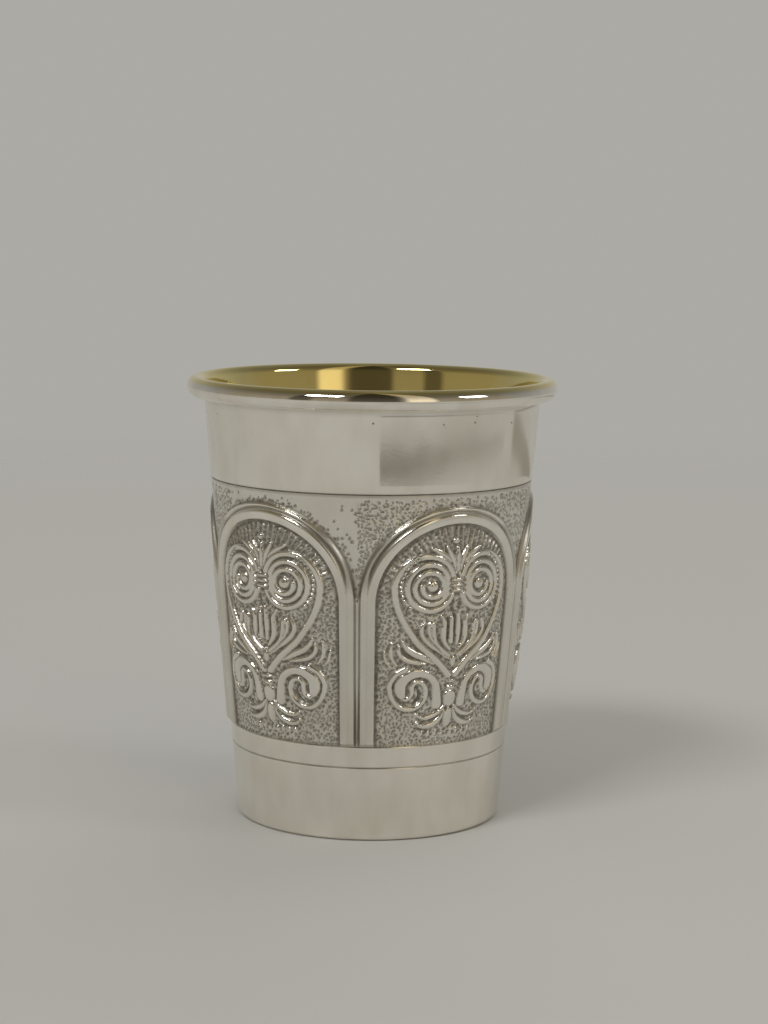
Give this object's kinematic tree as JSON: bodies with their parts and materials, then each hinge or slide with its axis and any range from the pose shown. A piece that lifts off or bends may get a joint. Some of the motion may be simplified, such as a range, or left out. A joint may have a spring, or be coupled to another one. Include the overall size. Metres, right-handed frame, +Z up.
{
  "type": "kiddush cup",
  "caption": "Small tapered silver kiddush cup with a rolled rim, gilt inside, and a band of arched panels of scrollwork in relief.",
  "frame": {"origin": "centre of the underside of the foot ring, on the cup's axis", "axes": "+Z up along the cup's axis towards the mouth; -Y through one pillar between two arches"},
  "size_m": [0.0672, 0.0672, 0.08],
  "materials": {
    "silver": "polished sterling silver with darkened recesses in the relief; the inside is gold-plated"
  },
  "bodies": {
    "root": {"cup": "silver"}
  },
  "joints": []
}
